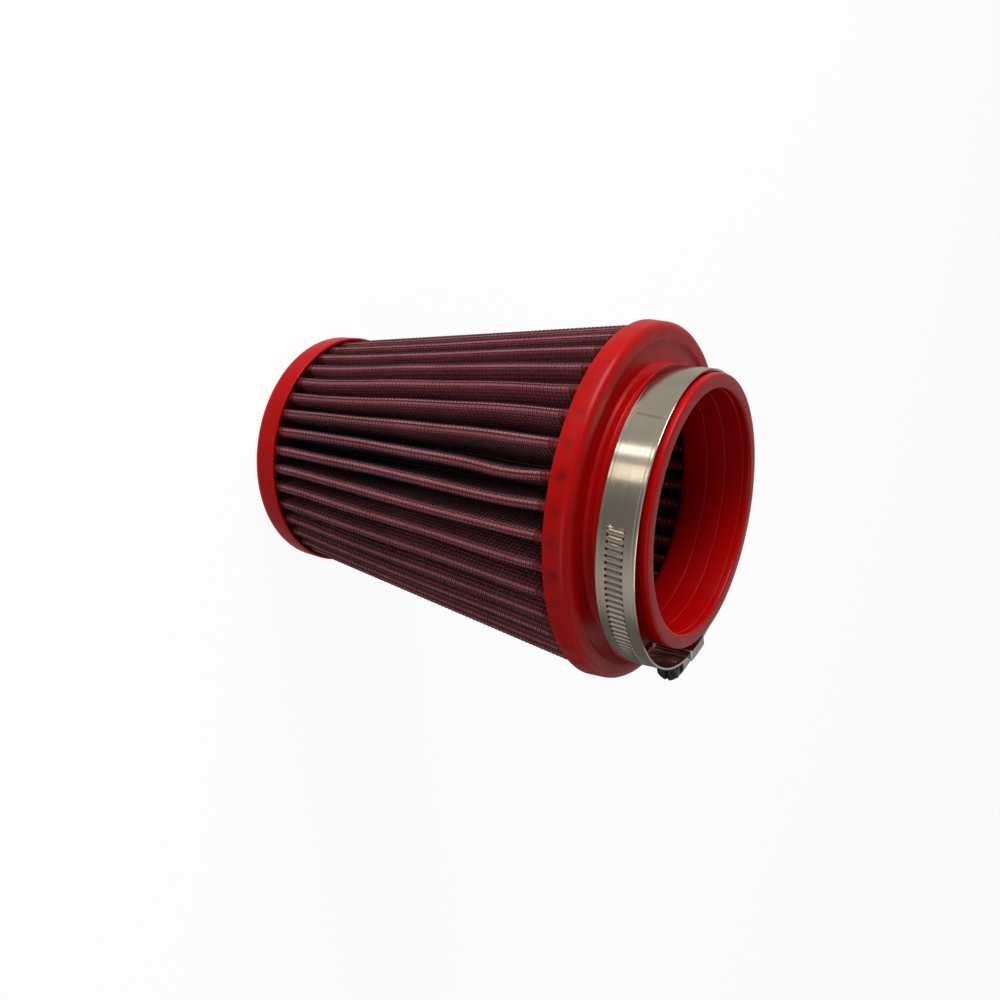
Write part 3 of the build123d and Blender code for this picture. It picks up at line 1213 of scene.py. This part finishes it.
@dataclass
class NeckFlange:
    """The flange and neck, one casting turned about the axis."""

    bore: float = 38.0
    bore_low: float = 127.5
    neck: float = 42.0
    bead: float = 42.6
    bead_height: float = 2.4
    bead_slope: float = 0.8
    rim: float = 150.0
    rim_rounding: float = 0.8
    flange: float = 56.7
    flange_front: float = 56.3
    flange_low: float = 124.65
    flange_high: float = 132.0
    front_rounding: float = 2.2
    recess: float = 51.2
    recess_depth: float = 1.0
    collar: float = 44.6
    collar_slope: float = 0.6
    neck_foot: float = 0.9
    pocket_inner: float = 39.711
    pocket_outer: float = 55.5
    pocket_low: float = 125.3
    pocket_high: float = 126.5
    flare: float = 1.3
    grip_places: tuple[float, ...] = (2.5, 8.85, 15.2)
    grip_depth: float = 0.25
    grip_half: float = 0.32
    columns: int = 288

    def profile(self) -> list[Point2]:
        """Draws the section, clockwise from the inside of its lower end.

        Returns:
            The section's points.
        """
        recess_floor = self.flange_high - self.recess_depth
        corners = [
            (self.bore + self.flare, self.pocket_low, 0.0),
            (self.pocket_inner, self.pocket_low, 0.1),
            (self.pocket_inner, self.pocket_high, 0.0),
            (self.pocket_outer + 0.1, self.pocket_high, 0.0),
            (self.pocket_outer - 0.05, self.flange_low + 0.25, 0.15),
            (self.pocket_outer + 0.4, self.flange_low, 0.25),
            (self.flange, self.flange_low, 0.6),
            (self.flange_front, self.flange_high, self.front_rounding),
            (self.recess, self.flange_high, 0.45),
            (self.recess - self.recess_depth, recess_floor, 0.35),
            (self.collar, recess_floor, 0.3),
            (self.collar - self.collar_slope, self.flange_high - 0.05, 0.25),
            (self.neck, self.flange_high + self.neck_foot, 0.5),
            (self.neck, self.rim - self.bead_height - self.bead_slope, 0.4),
            (self.bead, self.rim - self.bead_height, 0.3),
            (self.bead, self.rim, self.rim_rounding),
            (self.bore, self.rim, self.rim_rounding),
        ]
        for place in self.grip_places:
            height = self.rim - place
            corners.append((self.bore, height + self.grip_half, 0.1))
            corners.append((self.bore + self.grip_depth, height, 0.08))
            corners.append((self.bore, height - self.grip_half, 0.1))
        corners.append((self.bore, self.bore_low, 0.5))
        corners.append((self.bore + 0.3 * self.flare, self.bore_low - 1.2, 0.4))
        corners.append(corners[0])
        return rounded(corners)[:-1]

    def build(self) -> list[Piece]:
        """Builds the casting.

        Returns:
            The piece with its body, its slot and its node.
        """
        points, faces = turned(self.profile(), self.columns)
        piece = put("neck_and_flange", points, faces, RED_FLANGE, sharp=50.0)
        return [(piece, Body.FILTER, Slot.MOULDED, ("base_flange",))]


@dataclass
class EndCap:
    """The closed cap, a shallow cast cup."""

    radius: float = 41.5
    side: float = 41.15
    height: float = 9.35
    floor: float = 6.0
    lip_inner: float = 40.58
    lip_lean: float = 0.43
    foot_rounding: float = 3.0
    columns: int = 256

    def build(self) -> list[Piece]:
        """Builds the cap.

        Returns:
            The piece with its body, its slot and its node.
        """
        corners = [
            (0.0, 0.0, 0.0),
            (self.side, 0.0, self.foot_rounding),
            (self.radius, self.height, 0.45),
            (self.lip_inner, self.height, 0.2),
            (self.lip_inner - self.lip_lean, self.floor, 0.0),
            (0.0, self.floor, 0.0),
        ]
        points, faces = turned(rounded(corners, steps=7), self.columns)
        piece = put("closed_cap", points, faces, RED_CAP, sharp=50.0)
        return [(piece, Body.FILTER, Slot.MOULDED, ("end_cap",))]


# The clamp


@dataclass
class HoseClamp:
    """The worm-drive clamp: its pressed band, its housing and its screw."""

    width: float = 12.0
    thickness: float = 0.6
    inner_radius: float = 46.0
    top: float = 146.9
    offset: float = 2.9
    tilt: float = 2.0
    housing_turn: float = 24.0
    inner_overlap: float = 7.0
    lift_turn: float = 70.0
    tail_turn: float = 12.5
    layer_rise: float = 0.9
    square_turn: float = 4.0
    edge_rows: tuple[float, ...] = (0.0, 0.12, 0.45, 0.75, 0.95, 1.15, 1.5)
    edge_lift: float = -0.03
    groove: float = 0.95
    groove_lift: float = -0.025
    plain_runs: int = 190
    thread_runs: int = 8
    tail_runs: int = 8
    thread_pitch: float = 2.01
    threads_before: int = 44
    threads_after: int = 5
    thread_low: float = -3.1
    thread_high: float = 2.35
    thread_middle: float = -0.3
    thread_lean: float = 6.0
    thread_press: float = 0.2
    mean_press: float = 0.25
    thread_margin: float = 0.1
    press_slope: float = 0.12
    faint_press: float = 0.02
    faint_after: float = 30.0
    faint_turn: float = 12.0
    low_hole: float = 0.55
    high_hole: float = 0.385
    hole_half: float = 0.2
    last_hole_turn: float = 318.0
    dark_low: float = -2.7
    dark_high: float = 2.1
    crease_turn: float = 231.0
    housing_length: float = 11.0
    merge_distance: float = 0.002
    flat_angle: float = 4.0
    edge_break: float = 0.16
    edge_steps: int = 2
    edge_angle: float = 40.0
    screw_radius: float = 3.4
    screw_root: float = 2.55
    screw_lift: float = 0.65
    screw_gap: float = 0.15
    screw_columns: int = 72
    across_flats: float = 7.0
    head_length: float = 3.6
    head_radius: float = 4.2
    washer: float = 4.15
    washer_length: float = 0.6
    washer_break: float = 0.15
    worm_gap: float = 0.95
    worm_rows: int = 12
    worm_start: float = 0.8
    worm_stop: float = 0.5
    tooth_height: float = 2.2
    tooth_slope: float = 6.4
    pilot: float = 1.5
    pilot_length: float = 1.9
    pilot_break: float = 0.25
    slot_half: float = 0.55
    slot_depth: float = 1.4

    @property
    def middle(self) -> float:
        """Height of the band's middle line."""
        return self.top - self.width / 2

    @property
    def radius(self) -> float:
        """Radius of the band's middle surface."""
        return self.inner_radius + self.thickness / 2

    @property
    def threads(self) -> int:
        """Number of the pressed threads."""
        return self.threads_before + self.threads_after + 1

    @property
    def step(self) -> float:
        """Degrees from one thread to the next."""
        return degrees(self.thread_pitch / self.radius)

    @property
    def first(self) -> float:
        """Turn at which the threads start. One of them is centred under the screw."""
        return self.housing_turn + 360 - (self.threads_before + 0.5) * self.step

    def along(self, turn: float) -> tuple[Point2, Point2]:
        """Finds a spot on the band's middle surface.

        Args:
            turn: Angle about the clamp's axis, in degrees, past 360 in the second layer.

        Returns:
            The spot and the outward direction there.
        """
        lift_start = self.housing_turn + 360 - self.lift_turn
        out = (cos(radians(turn)), sin(radians(turn)))
        if turn < lift_start:
            return (self.offset + self.radius * out[0], self.radius * out[1]), out
        gain = self.layer_rise / (1 - cos(radians(self.lift_turn)))
        start = radians(lift_start)
        centre = (self.offset - gain * cos(start), -gain * sin(start))
        reach = self.radius + gain
        return (centre[0] + reach * out[0], centre[1] + reach * out[1]), out

    def turns(self) -> list[float]:
        """Spaces the band's columns: coarse, then fine over the threads, then its tail.

        Returns:
            The turn of each column, in degrees.
        """
        first, run = self.first, self.threads * self.step
        start = self.housing_turn - self.inner_overlap
        last, end = first + run, self.housing_turn + 360 + self.tail_turn
        cells = self.threads * self.thread_runs
        turns = [start + (first - start) * n / self.plain_runs for n in range(self.plain_runs)]
        turns.append(first - self.step * self.thread_margin)
        turns += [first + run * n / cells for n in range(cells)]
        turns += [last + (end - last) * n / self.tail_runs for n in range(self.tail_runs + 1)]
        return turns

    def rows(self) -> list[float]:
        """Spaces the band's rows, close at its edges and where its threads end.

        Returns:
            The rows' distances from the band's middle line.
        """
        half, low, high = self.width / 2, self.thread_low, self.thread_high
        low_end, high_end = low + self.low_hole, high - self.high_hole
        rows = [edge - half for edge in self.edge_rows]
        rows += [low - self.thread_margin, low, low_end, low_end + self.press_slope, self.thread_middle]
        rows += [high_end - self.press_slope, high_end, high, high + self.thread_margin]
        rows += [half - edge for edge in reversed(self.edge_rows)]
        return rows

    def lift(self, turn: float, across: float) -> float:
        """Finds how far the strip is pressed out of its middle surface.

        Args:
            turn: Angle about the clamp's axis, in degrees.
            across: Distance from the band's middle line.

        Returns:
            The distance outwards.
        """
        edge = self.width / 2 - abs(across)
        if edge < TINY:
            return self.edge_lift
        if abs(edge - self.groove) < TINY:
            return self.groove_lift
        phase = (turn - self.first) / self.step
        low, high = self.thread_low + self.low_hole, self.thread_high - self.high_hole
        if not (-TINY <= phase <= self.threads + TINY and low < across < high):
            return 0.0
        fade = (self.last_hole_turn + self.faint_after - turn) / self.faint_turn
        strong = self.thread_press - self.faint_press
        press = self.faint_press + strong * min(1.0, max(0.0, fade))
        return press * (self.mean_press - cos(2 * pi * phase))

    def holed(self, turn: float, next_turn: float, across: float) -> bool:
        """Tells whether a face of the strip is cut away at a thread's end.

        Args:
            turn: The turn of the face's first column.
            next_turn: The turn of its second column.
            across: Distance of the face's middle from the band's middle line.

        Returns:
            Whether the face is left out.
        """
        phase = ((turn + next_turn) / 2 - self.first) / self.step
        threaded = 0 <= phase <= self.threads and turn < self.last_hole_turn
        valley = abs(phase - round(phase)) < self.hole_half
        low = self.thread_low < across < self.thread_low + self.low_hole
        high = self.thread_high - self.high_hole < across < self.thread_high
        return threaded and valley and (low or high)

    def strip_finish(self) -> MetalFinish:
        """Puts the painted shade in this band's thread valleys, and its crease, on the strip's finish.

        Returns:
            The finish.
        """
        valley_shade_and_crease = ValleyShadeAndCrease(
            first=radians(self.first) * self.radius * MM,
            pitch=self.thread_pitch * MM,
            count=self.threads,
            low=self.dark_low * MM,
            high=self.dark_high * MM,
            crease_at=radians(self.crease_turn) * self.radius * MM,
        )
        return replace(STRIP, valley_shade_and_crease=valley_shade_and_crease)

    def band(self) -> bpy.types.Object:
        """Builds the band as a pressed strip, with its threads embossed and cut at their ends.

        Returns:
            The band.
        """
        turns, rows, finish = self.turns(), self.rows(), self.strip_finish()
        grid: list[list[int]] = []
        points: list[Point3] = []
        uvs: list[Point2] = []
        for turn in turns:
            from_end = min(turn - turns[0], turns[-1] - turn)
            leaning = tan(radians(self.thread_lean)) * min(1.0, max(0.0, from_end / self.square_turn))
            column = []
            for across in rows:
                (x, y), out = self.along(turn + degrees(leaning * across / self.radius))
                lift = self.lift(turn, across)
                column.append(len(points))
                points.append((x + out[0] * lift, y + out[1] * lift, self.middle + across))
                uvs.append((radians(turn) * self.radius * MM, across * MM))
            grid.append(column)
        faces = []
        for n, (near, far) in enumerate(zip(grid, grid[1:])):
            for m in range(len(rows) - 1):
                if not self.holed(turns[n], turns[n + 1], (rows[m] + rows[m + 1]) / 2):
                    faces.append((near[m], far[m], far[m + 1], near[m + 1]))
        mesh = bpy.data.meshes.new("band_strip")
        mesh.from_pydata([tuple(value * MM for value in point) for point in points], [], faces)
        layer = mesh.uv_layers.new(name="StripMap")
        for loop in mesh.loops:
            layer.data[loop.index].uv = uvs[loop.vertex_index]
        piece = put_mesh("band_sheet", mesh, finish, sharp=40.0)
        thick = piece.modifiers.new("thickness", "SOLIDIFY")
        thick.thickness = self.thickness * MM
        thick.offset = 0.0
        return put_mesh("clamp_strip", self.leant(baked(piece)), finish, sharp=40.0)

    def leant(self, mesh: bpy.types.Mesh) -> bpy.types.Mesh:
        """Leans a mesh out of square with the hoop, about the hoop's middle.

        Args:
            mesh: The mesh, which is changed.

        Returns:
            The same mesh.
        """
        middle = Vector((self.offset, 0, self.middle)) * MM
        lean = Matrix.Rotation(radians(-self.tilt), 4, "X")
        mesh.transform(Matrix.Translation(middle) @ lean @ Matrix.Translation(-middle))
        return mesh

    def housing(self) -> bpy.types.Object:
        """Takes the housing's own form and breaks its sheared edges.

        Returns:
            The housing.
        """
        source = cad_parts["clamp_housing"]
        mesh = source.data.copy()
        mesh.transform(source.matrix_world)
        shape = bmesh.new()
        shape.from_mesh(mesh)
        bmesh.ops.remove_doubles(shape, verts=shape.verts, dist=self.merge_distance * MM)
        bmesh.ops.dissolve_limit(
            shape, angle_limit=radians(self.flat_angle), verts=shape.verts, edges=shape.edges
        )
        shape.to_mesh(mesh)
        shape.free()
        piece = put_mesh("housing_form", mesh, PRESSED)
        bevel = piece.modifiers.new("edges", "BEVEL")
        bevel.width = self.edge_break * MM
        bevel.segments = self.edge_steps
        bevel.limit_method = "ANGLE"
        bevel.angle_limit = radians(self.edge_angle)
        return put_mesh("worm_housing", baked(piece), PRESSED, sharp=30.0)

    def screw_form(self) -> bpy.types.Mesh:
        """Turns the screw along Z: hexagon head, washer face, worm thread and pilot.

        Returns:
            The screw's mesh, with its slot cut.
        """
        start = -self.housing_length / 2 - self.screw_gap
        head_end = start - self.washer_length
        face = head_end - self.head_length
        worm_end = self.housing_length / 2 - self.worm_gap
        pilot_end = worm_end + self.pilot_length
        run = worm_end - start
        round_face, washer_inner, worm = 3.2, 3.9, 3.0
        profile = [(0.0, face), (2.6, face), (3.1, face), (3.55, face + 0.25), (4.1, face + 0.75)]
        profile += [(self.head_radius, head_end - 0.9), (self.head_radius, head_end)]
        profile += [(washer_inner, head_end), (self.washer, head_end + self.washer_break)]
        profile += [(self.washer, start - self.washer_break), (self.washer - self.washer_break, start)]
        rows = int(run / self.thread_pitch * self.worm_rows)
        profile += [(worm, start + run * n / rows) for n in range(rows + 1)]
        profile += [(self.pilot, worm_end), (self.pilot, pilot_end)]
        profile += [(self.pilot - 0.3, pilot_end + self.pilot_break), (0.0, pilot_end + self.pilot_break)]

        def reshape(radius: float, height: float, angle: float) -> float:
            """Gives the head its six flats and the worm its thread.

            Args:
                radius: The profile's radius.
                height: The profile's height.
                angle: Angle about the screw's axis, in radians.

            Returns:
                The radius there.
            """
            if height <= head_end and radius > round_face and radius != washer_inner:
                sixth = (angle % (pi / 3)) - pi / 6
                return min(radius, self.across_flats / 2 / cos(sixth))
            if radius != worm:
                return radius
            wave = (height / self.thread_pitch + angle / (2 * pi)) % 1.0
            tooth = min(1.0, max(0.0, self.tooth_height - abs(wave - 0.5) * self.tooth_slope))
            fade = min(1.0, (height - start) / self.worm_start, (worm_end - height) / self.worm_stop)
            return self.screw_root + (self.screw_radius - self.screw_root) * tooth * max(0.0, fade)

        points, faces = turned(profile, self.screw_columns, reshape)
        piece = put("screw_form", points, faces, PLATED)
        cutter = self.cutter(face)
        cut = piece.modifiers.new("slot", "BOOLEAN")
        cut.object = cutter
        cut.solver = "EXACT"
        mesh = baked(piece)
        bpy.data.objects.remove(cutter)
        return mesh

    def cutter(self, face: float) -> bpy.types.Object:
        """Makes the block that cuts the driver slot, longer than the head is wide.

        Args:
            face: The height of the head's outer face.

        Returns:
            The block.
        """
        long, above = 5.0, 2.0
        spans = ((-long, long), (-self.slot_half, self.slot_half), (face - above, face + self.slot_depth))
        corners = [(x * MM, y * MM, z * MM) for x in spans[0] for y in spans[1] for z in spans[2]]
        sides = [(0, 1, 3, 2), (4, 6, 7, 5), (0, 4, 5, 1), (2, 3, 7, 6), (0, 2, 6, 4), (1, 5, 7, 3)]
        mesh = bpy.data.meshes.new("driver_slot")
        mesh.from_pydata(corners, [], sides)
        block = bpy.data.objects.new("driver_slot", mesh)
        bpy.context.scene.collection.objects.link(block)
        return block

    def screw(self) -> bpy.types.Object:
        """Builds the screw and lays it in the housing.

        Returns:
            The screw.
        """
        mesh = self.screw_form()
        turn = radians(self.housing_turn)
        out = Vector((cos(turn), sin(turn), 0))
        run = Vector((-sin(turn), cos(turn), 0))
        reach = self.inner_radius + self.thickness + self.layer_rise + self.screw_lift + self.screw_radius
        place = Matrix((out, run.cross(out), run)).transposed().to_4x4()
        place.translation = (Vector((self.offset, 0, self.middle)) + out * reach) * MM
        mesh.transform(place)
        return put_mesh("worm_screw", self.leant(mesh), PLATED)

    def build(self) -> list[Piece]:
        """Builds the clamp.

        Returns:
            Each piece with its body, its slot and its node.
        """
        return [
            (self.band(), Body.CLAMP, Slot.STRIP, ("clamp_band",)),
            (self.housing(), Body.CLAMP, Slot.STRIP, ("clamp_housing",)),
            (self.screw(), Body.SCREW, Slot.SCREW, ("clamp_screw",)),
        ]


# The studio


@dataclass(frozen=True)
class SoftLight:
    """One large soft lamp, aimed at the filter, with its place and size in metres."""

    name: str
    place: Point3
    size: float
    power: float
    tall: float = 0.0
    colour: Colour = (1.0, 1.0, 1.0)

    def put(self, target: Vector) -> None:
        """Puts the lamp into the scene.

        Args:
            target: The place that it faces.
        """
        lamp = bpy.data.lights.new(self.name, "AREA")
        lamp.shape = "RECTANGLE"
        lamp.size = self.size
        lamp.size_y = self.tall or self.size
        lamp.energy = self.power
        lamp.color = self.colour
        holder = bpy.data.objects.new(self.name, lamp)
        holder.location = self.place
        holder.rotation_euler = (target - Vector(self.place)).to_track_quat("-Z", "Y").to_euler()
        bpy.context.scene.collection.objects.link(holder)


@dataclass
class Studio:
    """A pale floor, soft lamps and the photograph's camera, whose place is in millimetres."""

    camera_place: Point3 = (-22.13, -311.79, 263.33)
    camera_right: Point3 = (-0.13618, 0.51904, 0.84383)
    camera_up: Point3 = (-0.98723, 0.0, -0.15932)
    lens: float = 38.427
    sensor: float = 36.0
    nearest: float = 0.01
    lamp_target: Point3 = (0.0, 0.0, 0.1)
    lamps: tuple[SoftLight, ...] = (
        SoftLight("key", (-1.35, -0.5, 0.4), 0.9, 20.0),
        SoftLight("fill", (0.7, -1.1, 0.2), 1.0, 4.2),
        SoftLight("narrow_strip", (-0.223, -0.234, 0.034), 0.036, 0.017, 0.06),
        SoftLight("wide_strip", (-0.151, -0.288, 0.037), 0.063, 0.0155, 0.06, (1.0, 0.95, 0.84)),
    )
    floor_half: float = 8.0
    floor_grey: float = 0.7
    floor_white: float = 1.16
    floor_share: float = 0.8
    mirror_middle: Point3 = (0.02, -0.42, 0.0)
    mirror_reach: tuple[float, float] = (0.05, 0.34)
    mirror_white: tuple[float, float] = (0.17, 0.45)
    behind_x: tuple[float, float] = (-0.05, 0.12)
    behind_y: tuple[float, float] = (-0.3, 0.05)
    behind_white: float = 0.3
    room_light: float = 0.16
    room_mirrored: float = 0.42

    def build(self) -> None:
        """Builds the floor, the world, the lamps and the camera."""
        self.floor()
        self.world()
        for lamp in self.lamps:
            lamp.put(Vector(self.lamp_target))
        self.camera()
        bpy.context.scene.view_settings.view_transform = "Standard"

    def floor(self) -> None:
        """Lays the pale floor, white where it is seen. In reflections it glows paler or darker, with
        painted shade round a spot on the camera's side and towards +X and +Y.
        """
        half = self.floor_half
        mesh = bpy.data.meshes.new("studio_floor")
        corners = [(-half, -half, 0), (half, -half, 0), (half, half, 0), (-half, half, 0)]
        mesh.from_pydata(corners, [], [(0, 1, 2, 3)])
        plane = bpy.data.objects.new("studio_floor", mesh)
        bpy.context.scene.collection.objects.link(plane)
        material = bpy.data.materials.new("studio_floor")
        material.use_nodes = True
        tree = Tree(material.node_tree)
        nodes = material.node_tree.nodes
        nodes.remove(nodes["Principled BSDF"])
        plain = tree.add("ShaderNodeBsdfDiffuse", {"Color": (*[self.floor_grey] * 3, 1.0)})
        seen = tree.add("ShaderNodeLightPath").outputs
        camera, glossy = seen["Is Camera Ray"], seen["Is Glossy Ray"]
        place = tree.place()
        inputs = {0: place, 1: self.mirror_middle}
        away = tree.add("ShaderNodeVectorMath", inputs, operation="DISTANCE").outputs["Value"]
        # painted shade in reflections: the floor glows dimmer round a spot on the camera's side and
        # towards +X and +Y
        mirrored = tree.ramp(away, *self.mirror_reach, *self.mirror_white)
        x, y, _ = tree.parts(place)
        behind = tree.math("MULTIPLY", tree.ramp(y, *self.behind_y), tree.ramp(x, *self.behind_x))
        dimmed = tree.ramp(behind, 0.0, 1.0, 1.0, self.behind_white)
        mirrored = tree.math("MULTIPLY", glossy, tree.math("MULTIPLY", mirrored, dimmed))
        bright = tree.math("ADD", tree.math("MULTIPLY", camera, self.floor_white), mirrored)
        white = tree.add("ShaderNodeEmission", {"Color": (1.0, 1.0, 1.0, 1.0), "Strength": bright})
        share = tree.math("MAXIMUM", tree.math("MULTIPLY", camera, self.floor_share), glossy)
        inputs = {0: share, 1: plain.outputs[0], 2: white.outputs[0]}
        mixed = tree.add("ShaderNodeMixShader", inputs)
        tree.link(mixed.outputs[0], nodes["Material Output"].inputs["Surface"])
        mesh.materials.append(material)

    def world(self) -> None:
        """Gives the room an even pale light, white where it is seen."""
        world = bpy.data.worlds.new("studio")
        world.use_nodes = True
        bpy.context.scene.world = world
        tree = Tree(world.node_tree)
        background = world.node_tree.nodes["Background"]
        background.inputs["Color"].default_value = (1.0, 1.0, 1.0, 1.0)
        seen = tree.add("ShaderNodeLightPath").outputs
        mirrored = tree.math("MULTIPLY", seen["Is Glossy Ray"], self.room_mirrored)
        white = tree.math("MAXIMUM", seen["Is Camera Ray"], mirrored)
        strength = tree.ramp(white, 0.0, 1.0, self.room_light, 1.0)
        tree.link(strength, background.inputs["Strength"])

    def camera(self) -> None:
        """Sets the camera at the photograph's place."""
        lens = bpy.data.cameras.new("photo_camera")
        lens.sensor_width = self.sensor
        lens.sensor_fit = "HORIZONTAL"
        lens.lens = self.lens
        lens.clip_start = self.nearest
        holder = bpy.data.objects.new("photo_camera", lens)
        right, up = Vector(self.camera_right), Vector(self.camera_up)
        place = Matrix((right, up, right.cross(up))).transposed().to_4x4()
        place.translation = Vector(self.camera_place) * MM
        holder.matrix_world = place
        bpy.context.scene.collection.objects.link(holder)
        bpy.context.scene.camera = holder


def main() -> None:
    """Builds the studio and every sub-assembly, puts each piece on its body and hides the imported nodes
    that it stands for.
    """
    logging.basicConfig(level=logging.INFO, format="%(message)s")
    Studio().build()
    for assembly in (NeckFlange(), EndCap(), PleatedPack(), HoseClamp()):
        for piece, body, slot, nodes in assembly.build():
            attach(piece, body.value)
            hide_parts(*nodes)
            log.info(
                "%s: %s, %d faces", type(assembly).__name__, piece.name, len(piece.data.polygons)
            )


if __name__ == "__main__":
    main()
